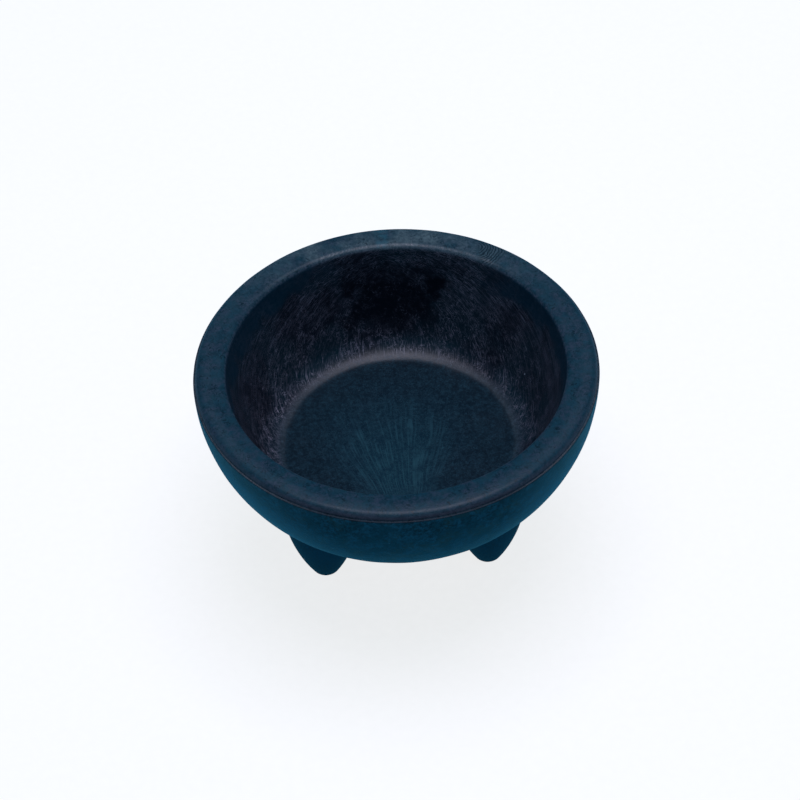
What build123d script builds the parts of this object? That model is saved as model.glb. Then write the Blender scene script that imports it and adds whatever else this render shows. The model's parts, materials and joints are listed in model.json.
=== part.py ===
"""Three-legged serving molcajete, moulded in black structural-foam plastic.

A thick-walled round bowl with a flat rim stands on three short bullet-shaped legs.
Origin: on the table, under the bowl's axis. +Z is up, -Y is the front,
and the rear leg stands on the +Y side.
"""
import os

from build123d import *
from math import cos, radians, sin

# Overall sizes, millimetres
bowl_diameter = 127.0       # across the widest circle, just under the rim band
overall_height = 76.2       # table to the top of the rim
bowl_height = 45.6          # underside of the bowl to the top of the rim

# Rim
rim_width = 10.2            # outer edge to the opening
rim_band_height = 2.2       # top of the rim down to the mould's parting line
parting_step = 0.7          # the wall below the parting line stands out this far
rim_outer_round = 2.0
rim_inner_round = 1.9

# Outer wall: two tangent arcs, from upright at the parting line to level at the underside
underside_radius = 30.8     # flat disc in the middle of the underside
upper_arc_turn = 46.0       # degrees turned by the upper arc, and the lower arc turns the rest

# Cavity: a gently bowed wall, a cove and a flat floor
floor_thickness = 9.7
cove_radius = 9.6
draft_at_rim = 9.0          # degrees from upright where the wall meets the opening
draft_at_cove = 25.0        # degrees from upright where the wall runs into the cove

# Legs
leg_circle_radius = 30.5    # bowl axis to leg axis
leg_root_radius = 13.0      # inside the bowl, at the level of its cavity's floor
leg_foot_radius = 3.9       # before its edge is rounded
leg_foot_round = 2.0
leg_side_bulge = 3.0        # how far the side bows out from a straight cone
leg_directions = {"front_left_leg": 210.0, "front_right_leg": 330.0, "rear_leg": 90.0}

# Worked out from the sizes above
outer_radius = bowl_diameter / 2
band_radius = outer_radius - parting_step
opening_radius = outer_radius - rim_width
parting_height = overall_height - rim_band_height
underside_height = overall_height - bowl_height
floor_height = underside_height + floor_thickness


def outer_arc_radii():
    """Radii of the upper and lower arcs that join the parting line to the underside disc."""
    turn = radians(upper_arc_turn)
    reach = outer_radius - underside_radius
    drop = parting_height - underside_height
    difference = (drop - reach) / (sin(turn) + cos(turn) - 1)
    upper = reach + difference * cos(turn)
    return upper, upper - difference


def wall_arc_radius():
    """Radius of the cavity wall, which fills the depth that the cove leaves."""
    cove_rise = cove_radius * (1 - sin(radians(draft_at_cove)))
    wall_rise = overall_height - floor_height - cove_rise
    return wall_rise / (sin(radians(draft_at_cove)) - sin(radians(draft_at_rim)))


def spin(profile):
    """Turn a profile, drawn as radius across and height up, once round the Z axis."""
    return revolve(Plane.XZ * profile, Axis.Z)


def blank_profile():
    """Half section of the bowl's outer shape, without its cavity."""
    upper_radius, lower_radius = outer_arc_radii()
    band = Polyline(
        (0, overall_height),
        (band_radius, overall_height),
        (band_radius, parting_height),
        (outer_radius, parting_height),
    )
    upper = JernArc(band @ 1, (0, -1), upper_radius, -upper_arc_turn)
    lower = JernArc(upper @ 1, upper % 1, lower_radius, upper_arc_turn - 90)
    underside = Polyline(lower @ 1, (0, underside_height), (0, overall_height))
    return make_face([band, upper, lower, underside])


def cavity_profile():
    """Half section of the hollow, up to the level of the rim."""
    draft = radians(draft_at_rim)
    mouth = Line((0, overall_height), (opening_radius, overall_height))
    wall_start = (-sin(draft), -cos(draft))
    wall_turn = draft_at_rim - draft_at_cove
    wall = JernArc(mouth @ 1, wall_start, wall_arc_radius(), wall_turn)
    cove = JernArc(wall @ 1, wall % 1, cove_radius, draft_at_cove - 90)
    floor = Polyline(cove @ 1, (0, floor_height), (0, overall_height))
    return make_face([mouth, wall, cove, floor])


def bowl():
    """The hollow bowl with both edges of its rim rounded."""
    section = blank_profile() - cavity_profile()
    inner_corner = section.vertices().group_by(Axis.Y)[-1].sort_by(Axis.X)[0]
    section = fillet(inner_corner, rim_inner_round)
    outer_corner = section.vertices().group_by(Axis.Y)[-1].sort_by(Axis.X)[-1]
    section = fillet(outer_corner, rim_outer_round)
    return spin(section)


def leg_profile():
    """Half section of a leg, carried on up into the bowl."""
    foot = Line((0, 0), (leg_foot_radius, 0))
    side = SagittaArc(foot @ 1, (leg_root_radius, floor_height), -leg_side_bulge)
    climb = side % 1
    inside_bowl = side @ 1 + climb * ((parting_height - floor_height) / climb.Y)
    top = Polyline(side @ 1, inside_bowl, (0, parting_height), (0, 0))
    section = make_face([foot, side, top])
    foot_corner = section.vertices().group_by(Axis.Y)[0].sort_by(Axis.X)[-1]
    return fillet(foot_corner, leg_foot_round)


def leg(direction):
    """A leg in its place round the bowl, ending on the bowl's outer skin."""
    place = Rot(0, 0, direction) * Pos(leg_circle_radius, 0, 0)
    return place * spin(leg_profile()) - spin(blank_profile())


os.makedirs("parts", exist_ok=True)
export_step(bowl(), "parts/bowl.step")
for name, direction in leg_directions.items():
    export_step(leg(direction), f"parts/{name}.step")
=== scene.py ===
"""A three-legged serving molcajete, one moulding in worn, near-black structural-foam plastic."""
import json
from math import asin, atan2, ceil, cos, degrees, hypot, pi, radians, sin, sqrt

import bpy
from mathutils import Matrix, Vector


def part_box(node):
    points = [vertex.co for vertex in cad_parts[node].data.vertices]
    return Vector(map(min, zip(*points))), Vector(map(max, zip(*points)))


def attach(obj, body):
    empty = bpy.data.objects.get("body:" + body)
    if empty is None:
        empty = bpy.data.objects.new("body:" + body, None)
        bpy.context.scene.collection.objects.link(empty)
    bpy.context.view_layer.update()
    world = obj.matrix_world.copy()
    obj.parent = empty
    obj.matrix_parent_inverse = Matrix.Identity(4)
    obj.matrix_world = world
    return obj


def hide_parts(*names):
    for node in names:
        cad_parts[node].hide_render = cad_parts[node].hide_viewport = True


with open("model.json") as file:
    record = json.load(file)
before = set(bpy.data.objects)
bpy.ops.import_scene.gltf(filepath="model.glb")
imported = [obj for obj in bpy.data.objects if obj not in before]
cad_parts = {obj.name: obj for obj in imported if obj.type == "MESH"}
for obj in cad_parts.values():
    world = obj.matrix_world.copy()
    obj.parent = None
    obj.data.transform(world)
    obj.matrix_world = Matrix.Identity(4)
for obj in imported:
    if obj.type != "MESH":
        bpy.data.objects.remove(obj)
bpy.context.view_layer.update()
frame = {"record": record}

MM = 0.001

# Places and overall sizes, from the frame
bowl_low, bowl_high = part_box("bowl")
outer_radius = bowl_high.x
rim_height = bowl_high.z
underside_height = bowl_low.z
feet = {mount["name"]: Vector(mount["pos_m"]) for mount in frame["record"]["mounts"]}

# The bowl's section, as it is moulded
rim_width = 10.2 * MM
rim_band_height = 2.2 * MM
parting_step = 0.7 * MM
parting_edge_round = 0.3 * MM
rim_outer_round = 2.0 * MM
rim_inner_round = 1.9 * MM
underside_radius = 30.8 * MM
upper_arc_turn = 46.0
floor_thickness = 9.7 * MM
cove_radius = 9.6 * MM
draft_at_rim = 9.0
draft_at_cove = 25.0

# The legs
leg_root_radius = 13.0 * MM
leg_foot_radius = 3.9 * MM
leg_foot_round = 2.0 * MM
leg_side_bulge = 3.0 * MM
leg_root_flare = 0.8 * MM
root_overlap = 0.25 * MM

# How finely the shapes are turned
bowl_steps = 288
leg_steps = 96
section_step = 1.1 * MM

# Worked out from the sizes above
band_radius = outer_radius - parting_step
opening_radius = outer_radius - rim_width
parting_height = rim_height - rim_band_height
floor_height = underside_height + floor_thickness

# The same places in millimetres, for the materials
rim_level = rim_height / MM
parting_level = parting_height / MM
floor_level = floor_height / MM
opening_edge = opening_radius / MM
band_edge = band_radius / MM


def arc(centre, radius, start, end):
    """Points along an arc in the section plane, from one direction to another in degrees."""
    count = max(3, ceil(abs(radians(end - start)) * radius / section_step))
    turns = [radians(start + (end - start) * i / count) for i in range(count + 1)]
    return [(centre[0] + radius * cos(a), centre[1] + radius * sin(a)) for a in turns]


def straight(start, end):
    """Points along a straight stretch of the section, without its ends."""
    length = hypot(end[0] - start[0], end[1] - start[1])
    count = max(1, round(length / (2 * section_step)))
    shares = [i / count for i in range(1, count)]
    return [tuple(a + (b - a) * s for a, b in zip(start, end)) for s in shares]


def joined(*stretches):
    """One outline through all the stretches, with straight runs between them."""
    outline = list(stretches[0])
    for stretch in stretches[1:]:
        outline += straight(outline[-1], stretch[0]) + list(stretch)
    return outline


def lower_arc_radius():
    """Radius of the arc that brings the outer wall into the flat underside."""
    turn = radians(upper_arc_turn)
    reach = outer_radius - underside_radius
    drop = parting_height - underside_height
    difference = (drop - reach) / (sin(turn) + cos(turn) - 1)
    return reach + difference * (cos(turn) - 1)


def outer_outline():
    """From the middle of the underside out and up to the parting ledge."""
    lower_radius = lower_arc_radius()
    reach = outer_radius - underside_radius
    upper_radius = (reach - lower_radius * cos(radians(upper_arc_turn))) / (
        1 - cos(radians(upper_arc_turn))
    )
    lower = arc(
        (underside_radius, underside_height + lower_radius),
        lower_radius, -90, -upper_arc_turn,
    )
    upper = arc((outer_radius - upper_radius, parting_height), upper_radius, -upper_arc_turn, 0)
    ledge_centre = (outer_radius - parting_edge_round, parting_height - parting_edge_round)
    ledge = arc(ledge_centre, parting_edge_round, 0, 90)
    return joined([(0, underside_height)], lower, upper[1:-1], ledge)


def rim_outline():
    """From the parting ledge up the band, over the flat rim and into the opening."""
    draft = radians(draft_at_rim)
    outer_centre = (band_radius - rim_outer_round, rim_height - rim_outer_round)
    inner_across = opening_radius + rim_inner_round * (1 - sin(draft)) / cos(draft)
    inner_centre = (inner_across, rim_height - rim_inner_round)
    return joined(
        [(band_radius, parting_height)],
        arc(outer_centre, rim_outer_round, 0, 90),
        arc(inner_centre, rim_inner_round, 90, 180 - draft_at_rim),
    )


def cavity_outline():
    """From just under the rim's inner round down the wall and cove to the middle of the floor."""
    at_rim, at_cove = radians(draft_at_rim), radians(draft_at_cove)
    cove_rise = cove_radius * (1 - sin(at_cove))
    wall_rise = rim_height - floor_height - cove_rise
    wall_radius = wall_rise / (sin(at_cove) - sin(at_rim))
    wall_centre = (
        opening_radius - wall_radius * cos(at_rim),
        rim_height + wall_radius * sin(at_rim),
    )
    start = degrees(asin(sin(at_rim) + rim_inner_round / wall_radius))
    wall = arc(wall_centre, wall_radius, -start, -draft_at_cove)
    cove_across = wall[-1][0] - cove_radius * cos(at_cove)
    cove = arc((cove_across, floor_height + cove_radius), cove_radius, -draft_at_cove, -90)
    return joined(wall, cove[1:], [(0, floor_height)])


def turned(name, outline, steps, place=(0, 0)):
    """A closed shape turned from an outline of (across, up) points about an upright axis."""
    bpy.ops.object.select_all(action="DESELECT")
    first = (place[0] + outline[0][0], place[1], outline[0][1])
    bpy.ops.mesh.primitive_plane_add(size=MM, location=first)
    piece = bpy.context.object
    piece.name = piece.data.name = name
    bpy.ops.object.mode_set(mode="EDIT")
    bpy.ops.mesh.merge(type="CENTER")
    for here, ahead in zip(outline, outline[1:]):
        move = (ahead[0] - here[0], 0, ahead[1] - here[1])
        bpy.ops.mesh.extrude_region_move(TRANSFORM_OT_translate={"value": move})
    bpy.ops.mesh.select_all(action="SELECT")
    bpy.ops.mesh.spin(steps=steps, angle=2 * pi, center=(*place, 0), axis=(0, 0, 1))
    bpy.ops.mesh.select_all(action="SELECT")
    bpy.ops.mesh.remove_doubles(threshold=0.004 * MM)
    bpy.ops.mesh.normals_make_consistent(inside=False)
    bpy.ops.object.mode_set(mode="OBJECT")
    bpy.ops.object.transform_apply(location=True, rotation=True, scale=True)
    bpy.ops.object.shade_smooth_by_angle(angle=radians(40))
    return piece


def make_bowl():
    """The bowl, with the slight waviness that a thick moulding takes as it cools."""
    outline = joined(outer_outline(), rim_outline(), cavity_outline())
    bowl = turned("molcajete_bowl", outline, bowl_steps)
    waves = bpy.data.textures.new("sink waviness", "CLOUDS")
    waves.noise_scale = 13 * MM
    waves.noise_depth = 1
    wavy = bowl.modifiers.new("sink waviness", "DISPLACE")
    wavy.texture = waves
    wavy.texture_coords = "LOCAL"
    wavy.mid_level = 1.0
    wavy.strength = 0.16 * MM
    bpy.context.view_layer.objects.active = bowl
    bpy.ops.object.modifier_apply(modifier=wavy.name)
    return bowl


def leg_side():
    """Centre and radius of the arc that the leg's side follows from the foot to its root."""
    across, up = leg_root_radius - leg_foot_radius, floor_height
    chord = hypot(across, up)
    radius = (chord * chord / 4 + leg_side_bulge**2) / (2 * leg_side_bulge)
    depth = radius - leg_side_bulge
    middle = (leg_foot_radius + across / 2, up / 2)
    return (middle[0] - depth * up / chord, middle[1] + depth * across / chord), radius


def side_radius(height):
    """Radius of the leg's bowed side at a height."""
    centre, radius = leg_side()
    return centre[0] + sqrt(radius**2 - (height - centre[1]) ** 2)


def skin_height(radius):
    """Height of the bowl's outer skin at a distance from the bowl's axis."""
    lower_radius = lower_arc_radius()
    beyond_disc = max(0, radius - underside_radius)
    return underside_height + lower_radius - sqrt(lower_radius**2 - beyond_disc**2)


def leg_outline():
    """From the middle of the foot up the side, out round the root's flare and back in, closed."""
    centre, radius = leg_side()
    inner = radius - leg_foot_round
    round_centre = (
        centre[0] + sqrt(inner**2 - (leg_foot_round - centre[1]) ** 2),
        leg_foot_round,
    )
    lean = atan2(round_centre[1] - centre[1], round_centre[0] - centre[0])
    foot = arc(round_centre, leg_foot_round, -90, degrees(lean))
    flare_start = underside_height - leg_root_flare
    end_angle = degrees(asin((flare_start - centre[1]) / radius))
    side = arc(centre, radius, degrees(lean), end_angle)
    flare_centre = (side[-1][0] + leg_root_flare, flare_start)
    flare = arc(flare_centre, leg_root_flare, 180, 90)
    cap_height = underside_height + root_overlap
    cap = [(flare[-1][0], cap_height), (0, cap_height)]
    return joined([(0, 0)], foot, side[1:], flare[1:], cap)


def make_leg(name, foot):
    """One leg, its root stretched up to the bowl's skin, which rises towards the outside."""
    leg = turned(name, leg_outline(), leg_steps, place=(foot.x, foot.y))
    stretch_from = 2 * leg_foot_round
    stretch_to = underside_height - leg_root_flare
    for vertex in leg.data.vertices:
        arm = Vector((vertex.co.x - foot.x, vertex.co.y - foot.y, 0))
        height = vertex.co.z
        share = min(1, max(0, (height - stretch_from) / (stretch_to - stretch_from)))
        level = min(height, underside_height)
        for _ in range(3):
            rise = skin_height(hypot(vertex.co.x, vertex.co.y)) - underside_height
            spread = side_radius(level + share * rise) - side_radius(level)
            vertex.co = foot + arm + arm.normalized() * min(spread, arm.length)
        vertex.co.z = height + share * (rise + root_overlap)
    return leg


def linear(hex_colour):
    """An sRGB hex colour as linear RGBA."""
    shares = [int(hex_colour[i : i + 2], 16) / 255 for i in (1, 3, 5)]
    curve = [s / 12.92 if s <= 0.04045 else ((s + 0.055) / 1.055) ** 2.4 for s in shares]
    return (*curve, 1.0)


def add_node(tree, kind, inputs=(), **settings):
    """Add a shader node, set its properties, and set each input or link it to a node or socket.
    Inputs are listed in order or keyed by name, and a number on a colour input is a grey."""
    node = tree.nodes.new("ShaderNode" + kind)
    for name, value in settings.items():
        setattr(node, name, value)
    for key, value in inputs.items() if isinstance(inputs, dict) else enumerate(inputs):
        socket = node.inputs[key]
        if isinstance(value, bpy.types.Node):
            value = next(output for output in value.outputs if output.enabled)
        if isinstance(value, bpy.types.NodeSocket):
            tree.links.new(value, socket)
        elif socket.type == "RGBA" and isinstance(value, float):
            socket.default_value = (value, value, value, 1.0)
        else:
            socket.default_value = value
    return node


def new_material(name):
    """An empty material, with its node tree and its output node."""
    material = bpy.data.materials.new(name)
    material.use_nodes = True
    material.node_tree.nodes.clear()
    return material, material.node_tree, material.node_tree.nodes.new("ShaderNodeOutputMaterial")


def zone(tree, *limits):
    """How far a point lies in a zone, from 0 to 1. Each limit is a field with the values where
    the zone starts and where it is whole, eased between them, or else a field or number that
    thins the zone."""
    reach = None
    for limit in limits:
        if isinstance(limit, tuple):
            field, start, end = limit
            ends = {"Value": field, "From Min": start, "From Max": end}
            limit = add_node(tree, "MapRange", ends, interpolation_type="SMOOTHSTEP")
        if reach is None:
            reach = limit
        else:
            reach = add_node(tree, "Math", [reach, limit], operation="MULTIPLY")
    return reach


def layered(tree, base, *coats):
    """A colour or an amount with coats laid over it, each a share and what it brings."""
    for cover, coat in coats:
        base = add_node(tree, "MixRGB", [cover, base, coat])
    return base


def patches(tree, place, size, low, high):
    """Soft patches about as large as the size in millimetres."""
    noise = add_node(tree, "TexNoise", {"Vector": place, "Scale": 1 / size, "Detail": 3.0})
    return zone(tree, (noise, low, high))


def strands(tree, place, scale, warp):
    """Long noise streaks, from a place and a scale that turns it into streak widths across,
    streak lengths along and a third direction."""
    stretched = add_node(tree, "VectorMath", [place, scale], operation="MULTIPLY")
    settings = {"Vector": stretched, "Scale": 1.0, "Detail": 4.0, "Distortion": warp}
    return add_node(tree, "TexNoise", settings)


def scribble(tree, place, spacing, thin, seed):
    """Short curled fibres in all directions: the lines where a warped noise crosses its middle,
    broken up where a second noise is low."""
    moved = add_node(tree, "VectorMath", [place, (seed, 0, 0)], operation="ADD")
    settings = {"Vector": moved, "Scale": 1 / spacing, "Detail": 1.0, "Distortion": 1.2}
    noise = add_node(tree, "TexNoise", settings)
    off = add_node(tree, "Math", [noise, 0.5], operation="SUBTRACT")
    off = add_node(tree, "Math", [off], operation="ABSOLUTE")
    return zone(tree, (off, thin, 0.0), patches(tree, moved, 1.7 * spacing, 0.4, 0.6))


def bowl_fields(tree):
    """Where a point lies on the bowl, in millimetres and radians, and its share of each region.
    The azimuth is 0 at the back and rises to the right, and the turn is its size."""
    coordinates = add_node(tree, "TexCoord").outputs["Object"]
    place = add_node(tree, "VectorMath", {0: coordinates, "Scale": 1 / MM}, operation="SCALE")
    across, back, height = add_node(tree, "SeparateXYZ", [place]).outputs
    level = add_node(tree, "VectorMath", [place, (1, 1, 0)], operation="MULTIPLY")
    radius = add_node(tree, "VectorMath", [level], operation="LENGTH").outputs["Value"]
    azimuth = add_node(tree, "Math", [across, back], operation="ARCTAN2")
    # A cone that runs inside the bowl's wall parts the cavity from the outside
    cone_slope, cone_base = 0.389, 28.4
    mid_wall = add_node(tree, "Math", [height, cone_slope, cone_base], operation="MULTIPLY_ADD")
    inward = add_node(tree, "Math", [mid_wall, radius], operation="SUBTRACT")
    above_floor = (height, floor_level - 1.8, floor_level - 0.8)
    on_band = (radius, band_edge - 2.0, band_edge - 0.8)
    on_ledge = (radius, band_edge - 0.1, band_edge)
    return {
        "place": place,
        "across": across,
        "back": back,
        "height": height,
        "level": level,
        "radius": radius,
        "azimuth": azimuth,
        "turn": add_node(tree, "Math", [azimuth], operation="ABSOLUTE"),
        "inside": zone(tree, above_floor, (inward, -1, 1)),
        "wall": zone(tree, (height, floor_level, floor_level + 1.3)),
        "rim": zone(tree, (height, rim_level - 1.6, rim_level - 0.3)),
        "band": zone(tree, on_band, (height, parting_level - 0.4, parting_level + 0.3)),
        "ledge": zone(tree, on_ledge, (height, parting_level - 0.5, parting_level - 0.2)),
    }


def wall_strands(tree, where):
    """Fibres of the cavity's wall: short and upright above the cove, and near the rim longer
    and almost level, rising to the back centre, where two flows of plastic met in the mould.
    Real ones are 0.1 to 0.3 mm wide, and the finest are drawn at 0.36 mm so that they show."""
    span = {"Value": where["height"], "From Min": floor_level + 0.7, "From Max": rim_level - 0.2}
    rise = add_node(tree, "MapRange", span)
    lean = add_node(tree, "Math", [rise, 1.0], operation="ADD")
    upright = add_node(tree, "Math", [where["turn"], lean], operation="MULTIPLY")
    level = add_node(tree, "Math", [rise, 3.0], operation="POWER")
    sweep = add_node(tree, "Math", [level, 1.3, upright], operation="MULTIPLY_ADD")
    flow = add_node(tree, "CombineXYZ", [sweep, rise, where["across"]])
    wall_radius, wall_slope = 50, 36
    fine, coarse, long = (
        strands(tree, flow, (wall_radius / width, wall_slope / length, 0.3 / width), warp)
        for width, length, warp in ((0.36, 2.6, 1.6), (1.3, 7.0, 0.8), (0.55, 15.0, 0.5))
    )
    heavy = layered(tree, 0.25, (zone(tree, (coarse, 0.38, 0.62)), 1.0))
    low = zone(tree, (fine, 0.53, 0.61), heavy, (rise, 0.8, 0.45))
    high = zone(tree, (long, 0.52, 0.58), heavy, (rise, 0.35, 0.7))
    return add_node(tree, "Math", [low, high], operation="MAXIMUM")


def wall_zones(tree, where):
    """Two zones of the wall with few fibres: the deep black weld at the back centre, darkened in
    part as painted shade, and a blue band of painted shade under the rim on both sides of it."""
    edge_sway, edge_rise = 0.7, 16
    ragged = add_node(tree, "TexNoise", {"Vector": where["place"], "Scale": 1 / 7, "Detail": 3.0})
    ragged = add_node(tree, "Math", [ragged, 0.5], operation="SUBTRACT")
    swayed = [ragged, edge_sway, where["azimuth"]]
    azimuth = add_node(tree, "Math", swayed, operation="MULTIPLY_ADD")
    height = add_node(tree, "Math", [ragged, edge_rise, where["height"]], operation="MULTIPLY_ADD")
    weld_sides = (azimuth, -0.42, -0.22), (azimuth, 0.44, 0.26)
    weld_and_shade = zone(tree, *weld_sides, (height, 44, 53), (height, 73, 62))
    turn = add_node(tree, "Math", [azimuth, 0.15], operation="SUBTRACT")
    turn = add_node(tree, "Math", [turn], operation="ABSOLUTE")
    return weld_and_shade, zone(tree, (turn, 0.45, 0.8), (height, 65, 71))


def floor_strands(tree, where):
    """Fibres of the floor, fanning out from the gate below the front of the cavity, and how
    near a point is to the middle of the fan."""
    gate_to_axis = 46.0
    streak_turn, streak_length = 0.016, 22
    ahead = add_node(tree, "Math", [where["back"], gate_to_axis], operation="ADD")
    angle = add_node(tree, "Math", [where["across"], ahead], operation="ARCTAN2")
    reach = add_node(tree, "CombineXYZ", [where["across"], ahead, 0.0])
    reach = add_node(tree, "VectorMath", [reach], operation="LENGTH").outputs["Value"]
    warp = add_node(tree, "TexNoise", {"Vector": where["place"], "Scale": 1 / 12, "Detail": 1.0})
    angle = add_node(tree, "Math", [warp, 0.05, angle], operation="MULTIPLY_ADD")
    flow = add_node(tree, "CombineXYZ", [angle, reach, 0.0])
    streaks = strands(tree, flow, (1 / streak_turn, 1 / streak_length, 0), 0.15)
    middle = add_node(tree, "Math", [angle, 0.02], operation="ADD")
    middle = add_node(tree, "Math", [middle], operation="ABSOLUTE")
    fan = zone(tree, (streaks, 0.44, 0.64), patches(tree, where["place"], 5, 0.3, 0.65))
    return fan, zone(tree, (middle, 0.62, 0.1), (reach, 84, 30))


def ripples(tree, where):
    """A curl of flow lines about 0.9 mm apart on the rim, right of the back."""
    radius, azimuth = 58, radians(31)
    spacing, wander = 0.9, 1.6
    from_middle = (-radius * sin(azimuth), -radius * cos(azimuth), 0)
    arm = add_node(tree, "VectorMath", [where["level"], from_middle], operation="ADD")
    reach = add_node(tree, "VectorMath", [arm], operation="LENGTH").outputs["Value"]
    bent = add_node(tree, "TexNoise", {"Vector": where["place"], "Scale": 1 / 2.5, "Detail": 2.0})
    bent = add_node(tree, "Math", [bent, wander, reach], operation="MULTIPLY_ADD")
    phase = add_node(tree, "Math", [bent, 2 * pi / spacing], operation="MULTIPLY")
    wave = add_node(tree, "Math", [phase], operation="SINE")
    outward = add_node(tree, "SeparateXYZ", [arm]).outputs[0]
    curl = (reach, 10.5, 8.5), (outward, 0.0, 2.0)
    return zone(tree, (wave, -0.2, 0.6), *curl, where["rim"])


def specks(tree, where):
    """A few grains of pale dust below the rim, inside and out, each about a third of a
    millimetre."""
    spots = add_node(tree, "TexVoronoi", {"Vector": where["place"], "Scale": 1 / 8})
    return zone(tree, (spots, 0.024, 0.014), (where["height"], 70, 68))


def bowl_marks(tree, where):
    """The patterns that the bowl's colour and gloss share."""
    place = where["place"]
    # The foam's cells leave a grain of 0.2 to 0.5 mm, drawn at 1.1 mm so that it shows
    grain = {"Vector": place, "Scale": 1 / 1.1, "Detail": 5.0, "Roughness": 0.65, "Distortion": 0.6}
    hairs = [scribble(tree, place, 1.8, 0.04, 40), ripples(tree, where)]
    weld_and_shade, painted_shade_band = wall_zones(tree, where)
    fan, fan_share = floor_strands(tree, where)
    near_back = zone(tree, (where["turn"], 1.1, 0.25))
    return {
        "grain": zone(tree, (add_node(tree, "TexNoise", grain), 0.33, 0.67)),
        "hairs": add_node(tree, "Math", hairs, operation="MAXIMUM"),
        "cloudy": patches(tree, place, 18, 0.36, 0.64),
        "weld_and_shade": weld_and_shade,
        "painted_shade_band": painted_shade_band,
        "fan": fan,
        "fan_share": fan_share,
        "near_back": near_back,
        # Grey patches near the back of the rim: part wear, part painted sheen
        "wear_and_sheen": zone(tree, near_back, patches(tree, place, 9, 0.3, 0.65)),
    }


def wall_fibre(tree, where, marks):
    """How much pale fibre lies on the cavity's wall, from 0 to 1."""
    place = where["place"]
    loose = scribble(tree, place, 1.2, 0.035, 20)
    both = [zone(tree, wall_strands(tree, where), 0.85), zone(tree, loose, 0.8)]
    wall = layered(
        tree,
        add_node(tree, "Math", both, operation="MAXIMUM"),
        # Few fibres at the weld, whose dark zone is partly painted shade
        (marks["weld_and_shade"], zone(tree, loose, 0.35)),
        # The blue band under the rim is painted shade, its fibres left out as if unlit
        (marks["painted_shade_band"], zone(tree, marks["grain"], 0.12)),
    )
    return zone(tree, wall, layered(tree, 0.45, (patches(tree, place, 6, 0.35, 0.6), 1.0)))


def bowl_fibre(tree, where, marks, wall):
    """How much pale fibre lies on each region of the bowl, from 0 to 1."""
    place = where["place"]
    curls = [scribble(tree, place, 0.9, 0.07, 0), scribble(tree, place, 0.6, 0.08, 70)]
    floor = layered(
        tree,
        zone(tree, marks["grain"], patches(tree, place, 4, 0.2, 0.8)),
        (0.65, add_node(tree, "Math", curls, operation="MAXIMUM")),
        (zone(tree, (marks["fan_share"], 0.1, 0.7), marks["fan"]), 1.0),
    )
    skin = layered(tree, marks["grain"], (marks["hairs"], 0.0))
    cavity = layered(tree, floor, (where["wall"], wall))
    return layered(tree, skin, (where["inside"], cavity), (where["rim"], skin))


def between_fibres(tree, where, marks):
    """The plastic's colour between the fibres, with painted shade on the wall, a painted sheen
    near the back of the rim and a painted reflection on the band under the rim.
    """
    place = where["place"]
    wall = layered(
        tree,
        linear("#070d16"),
        (marks["cloudy"], linear("#06171f")),
        # The weld is painted near black, partly as painted shade of the back wall
        (marks["weld_and_shade"], linear("#03060e")),
        # Painted shade: the blue band under the rim
        (marks["painted_shade_band"], linear("#041f2b")),
    )
    floor = layered(tree, linear("#031019"), (marks["fan_share"], linear("#041d29")))
    outside = layered(
        tree,
        linear("#03222a"),
        (marks["cloudy"], linear("#05303a")),
        (zone(tree, patches(tree, place, 7, 0.5, 0.62), 0.8), linear("#20302f")),
    )
    rim = layered(
        tree,
        linear("#0d242d"),
        (patches(tree, place, 6, 0.4, 0.6), linear("#152b33")),
        # Grey near the back of the rim: part wear, part painted sheen
        (marks["wear_and_sheen"], linear("#2b383e")),
    )
    return layered(
        tree,
        outside,
        (where["inside"], layered(tree, floor, (where["wall"], wall))),
        # Painted reflection: the brownish band under the rim's outer round
        (zone(tree, where["band"], patches(tree, place, 7, 0.2, 0.5)), linear("#2c2a33")),
        (where["ledge"], linear("#0b161e")),
        (where["rim"], rim),
    )


def fibre_colour(tree, where, marks):
    """The fibres' colour: grey on the wall, with painted light making it palest low on the left;
    blue-green elsewhere, with painted light paler low on the outside's sides and back, a painted
    reflection on the band under the rim and a painted sheen near the back of the rim.
    """
    place, height, azimuth = where["place"], where["height"], where["azimuth"]
    # Painted light: the wall's fibres are paler low on the left
    painted_light_left_low = zone(tree, (height, 62, 46), (azimuth, -0.35, -1.0), (azimuth, -3.0, -2.2))
    wall = layered(tree, linear("#53525f"), (painted_light_left_low, linear("#6f6c79")))
    floor = layered(tree, linear("#152e39"), (marks["fan_share"], linear("#17373f")))
    # Painted light: the outside's sides and back are painted paler low down
    painted_side_light = zone(tree, (where["turn"], 2.8, 2.1), (height, 72, 60))
    outside = layered(
        tree,
        linear("#073d47"),
        (patches(tree, place, 4, 0.42, 0.58), linear("#164a58")),
        (painted_side_light, linear("#1c5a70")),
    )
    rim = layered(
        tree,
        linear("#122f3a"),
        (patches(tree, place, 4, 0.4, 0.6), linear("#232f3b")),
        # Grey near the back of the rim: part wear, part painted sheen
        (marks["wear_and_sheen"], linear("#3d4c50")),
    )
    return layered(
        tree,
        outside,
        (where["inside"], layered(tree, floor, (where["wall"], wall))),
        # Painted reflection: the brownish band under the rim's outer round
        (where["band"], linear("#38373f")),
        (where["ledge"], linear("#1a2730")),
        (where["rim"], rim),
    )


def bowl_colour(tree, where, marks, fibre):
    """The whole colour, with the rim's weld mark, its dark hairs and the dust laid over it."""
    off_middle = add_node(tree, "Math", [where["across"]], operation="ABSOLUTE")
    mottle = patches(tree, where["place"], 2, 0.35, 0.6)
    on_middle = (off_middle, 2.6, 1.4), (where["back"], 50, 54)
    weld_mark = zone(tree, *on_middle, where["rim"], mottle, 0.55)
    return layered(
        tree,
        between_fibres(tree, where, marks),
        (fibre, fibre_colour(tree, where, marks)),
        (weld_mark, linear("#1d444f")),
        (zone(tree, marks["hairs"], where["rim"], 0.75), linear("#06141b")),
        (specks(tree, where), linear("#b9c8d4")),
    )


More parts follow.
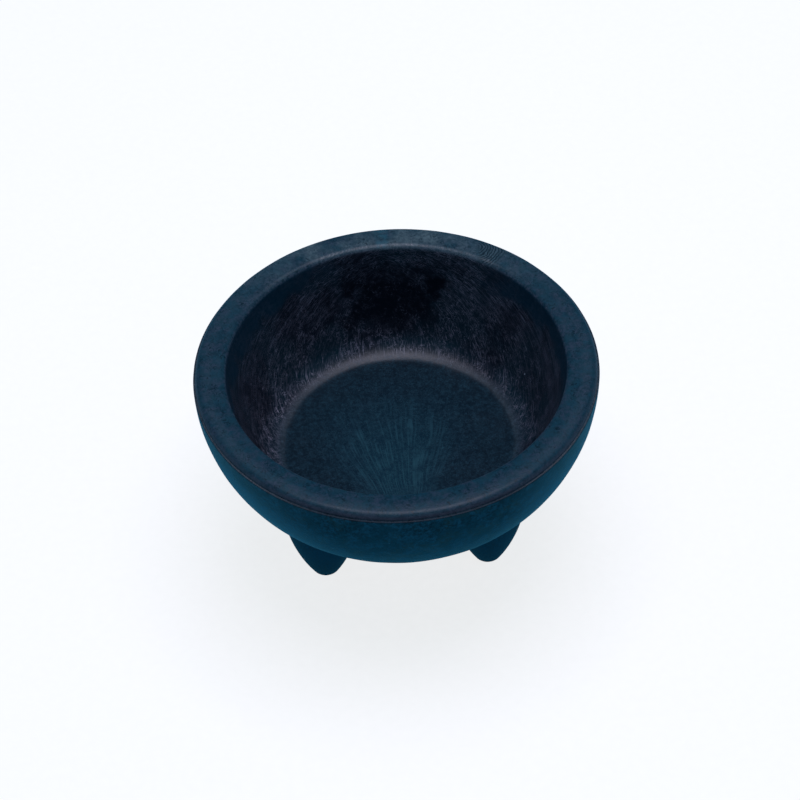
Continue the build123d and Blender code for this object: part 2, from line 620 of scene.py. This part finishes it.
def bowl_gloss(tree, where, marks, wall):
    """How strongly each region shines: worn flats are duller than the cove, where fibres glint,
    and than the handled edges of the rim."""
    radius, turn = where["radius"], where["turn"]
    on_floor_edge = zone(tree, (where["height"], floor_level - 0.08, floor_level + 0.2))
    flat_top = zone(
        tree,
        (radius, opening_edge + 1.1, opening_edge + 2.1),
        (radius, band_edge - 1.6, band_edge - 2.4),
    )
    outside = layered(tree, 0.06, (zone(tree, (turn, 2.75, 2.2)), 0.3))
    cavity = layered(tree, 0.05, (on_floor_edge, 0.25))
    inner_edge = layered(tree, 0.07, (marks["near_back"], 0.28))
    outer_edge = layered(tree, 0.06, (zone(tree, (turn, 2.3, 2.9)), 0.15))
    rim = layered(tree, inner_edge, (zone(tree, (radius, 56, 60)), outer_edge), (flat_top, 0.09))
    glint = add_node(tree, "MapRange", {"Value": wall, "To Min": 0.5, "To Max": 2.0})
    towards_front = layered(tree, 1.0, (zone(tree, (turn, 1.3, 2.0)), 0.3))
    glint = add_node(tree, "Math", [glint, towards_front], operation="MULTIPLY")
    glint = layered(tree, 1.0, (zone(tree, where["inside"], where["wall"]), glint))
    gloss = layered(tree, outside, (where["inside"], cavity), (where["rim"], rim))
    return add_node(tree, "Math", [gloss, glint], operation="MULTIPLY")


def bowl_plastic(name):
    """Structural-foam polypropylene, moulded in black: matte, with the pale swirled strands
    that gas bubbles leave against the mould's wall, and a bluish bloom from washing, which
    lightens the outside where it is seen at a slant."""
    material, tree, output = new_material(name)
    where = bowl_fields(tree)
    marks = bowl_marks(tree, where)
    wall = wall_fibre(tree, where, marks)
    fibre = bowl_fibre(tree, where, marks, wall)
    rough = add_node(tree, "MapRange", {"Value": fibre, "To Min": 0.36, "To Max": 0.5})
    bump = add_node(tree, "Bump", {"Height": fibre, "Strength": 0.5, "Distance": 0.05 * MM})
    shader = add_node(
        tree, "BsdfPrincipled",
        {
            "Base Color": bowl_colour(tree, where, marks, fibre),
            "Roughness": rough,
            "IOR": 1.49,
            "Specular IOR Level": bowl_gloss(tree, where, marks, wall),
            "Sheen Weight": layered(tree, 0.1, (where["inside"], 0.0)),
            "Sheen Roughness": 0.35,
            "Sheen Tint": linear("#a0dcf0"),
            "Normal": bump,
        },
    )
    tree.links.new(shader.outputs[0], output.inputs["Surface"])
    return material


def leg_plastic(name):
    """The same plastic on the legs, a little smoother and deeper in colour, because they
    filled last and hang in the bowl's own shade."""
    material, tree, output = new_material(name)
    coordinates = add_node(tree, "TexCoord").outputs["Object"]
    place = add_node(tree, "VectorMath", {0: coordinates, "Scale": 1 / MM}, operation="SCALE")
    # The grain is drawn coarser than life here too, at 0.8 mm
    grain = {"Vector": place, "Scale": 1 / 0.8, "Detail": 3.0, "Distortion": 0.8}
    fibre = zone(tree, (add_node(tree, "TexNoise", grain), 0.38, 0.66))
    tone = layered(
        tree,
        linear("#062a36"),
        (patches(tree, place, 12, 0.36, 0.64), linear("#083241")),
        (fibre, linear("#0d404f")),
    )
    rough = add_node(tree, "MapRange", {"Value": fibre, "To Min": 0.45, "To Max": 0.6})
    bump = add_node(tree, "Bump", {"Height": fibre, "Strength": 0.4, "Distance": 0.05 * MM})
    shader = add_node(
        tree, "BsdfPrincipled",
        {
            "Base Color": tone,
            "Roughness": rough,
            "IOR": 1.49,
            "Specular IOR Level": 0.08,
            "Normal": bump,
        },
    )
    tree.links.new(shader.outputs[0], output.inputs["Surface"])
    return material


def lit_paper():
    """Pale paper lit from below: close to white where it is seen, with only a hint of shadow,
    and a dim cool bounce on to the object."""
    material, tree, output = new_material("lit paper")
    place = add_node(tree, "TexCoord").outputs["Object"]
    grain = add_node(tree, "TexNoise", {"Vector": place, "Scale": 1 / (3 * MM), "Detail": 2.0})
    white = layered(tree, linear("#f7f7f7"), (grain, linear("#fbfbfb")))
    glow = add_node(tree, "Emission", {"Color": white, "Strength": 0.86})
    paper = add_node(tree, "BsdfDiffuse", {"Color": linear("#707070")})
    seen = add_node(tree, "AddShader", [glow, paper])
    bounce = add_node(tree, "BsdfDiffuse", {"Color": linear("#8fbccc")})
    camera_ray = add_node(tree, "LightPath").outputs["Is Camera Ray"]
    mix = add_node(tree, "MixShader", [camera_ray, bounce, seen])
    tree.links.new(mix.outputs[0], output.inputs["Surface"])
    return material


def add_floor():
    """A wide pale floor that the molcajete stands on."""
    bpy.ops.object.select_all(action="DESELECT")
    bpy.ops.mesh.primitive_plane_add(size=12, location=(0, 0, 0))
    floor = bpy.context.object
    floor.name = "studio_floor"
    floor.data.materials.append(lit_paper())
    floor.visible_glossy = False


def add_camera():
    """A long lens looks down into the bowl from the front, held a little off level."""
    azimuth, elevation, roll = radians(-2.7), radians(45.88), radians(-2.62)
    distance = 14.72 * outer_radius
    back = Vector((
        sin(azimuth) * cos(elevation),
        -cos(azimuth) * cos(elevation),
        sin(elevation),
    ))
    rim_centre = Vector((0, 0, rim_height))
    aim = rim_centre + Vector((0.8 * MM, 0, -16.2 * MM))
    data = bpy.data.cameras.new("camera")
    data.lens = 135
    data.sensor_width = 36
    data.clip_start, data.clip_end = 0.05, 50
    camera = bpy.data.objects.new("camera", data)
    bpy.context.scene.collection.objects.link(camera)
    camera.location = rim_centre + back * distance
    camera.rotation_euler = (camera.location - aim).to_track_quat("Z", "Y").to_euler()
    camera.rotation_euler.rotate_axis("Z", roll)
    bpy.context.scene.camera = camera


def add_light(name, place, size, power, hex_colour, aim=(0, 0, 0.05)):
    """A square soft light at a place, facing the bowl."""
    data = bpy.data.lights.new(name, "AREA")
    data.size = size
    data.energy = power
    data.color = linear(hex_colour)[:3]
    light = bpy.data.objects.new(name, data)
    bpy.context.scene.collection.objects.link(light)
    light.location = place
    light.rotation_euler = (light.location - Vector(aim)).to_track_quat("Z", "Y").to_euler()


def add_studio_light():
    """An overhead softbox and a dim cool room."""
    add_light("overhead_softbox", (0.05, 0.055, 1.1), 0.75, 14, "#f3ecff")
    world = bpy.data.worlds.new("studio")
    world.use_nodes = True
    bpy.context.scene.world = world
    tree = world.node_tree
    tree.nodes.clear()
    seen = add_node(tree, "LightPath").outputs["Is Camera Ray"]
    dim = add_node(tree, "Background", {"Color": linear("#265f78"), "Strength": 2.2})
    pale = add_node(tree, "Background", {"Color": linear("#ffffff"), "Strength": 1.0})
    mix = add_node(tree, "MixShader", [seen, dim, pale])
    output = tree.nodes.new("ShaderNodeOutputWorld")
    tree.links.new(mix.outputs[0], output.inputs["Surface"])


bpy.context.scene.view_settings.view_transform = "Standard"

bowl = make_bowl()
bowl.data.materials.append(bowl_plastic("structural-foam plastic, bowl"))
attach(bowl, "root")
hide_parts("bowl")

legs_plastic = leg_plastic("structural-foam plastic, legs")
for side in ("front_left", "front_right", "rear"):
    leg = make_leg(f"{side}_leg_moulding", feet[f"{side}_foot"])
    leg.data.materials.append(legs_plastic)
    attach(leg, "root")
    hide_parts(f"{side}_leg")

add_floor()
add_camera()
add_studio_light()
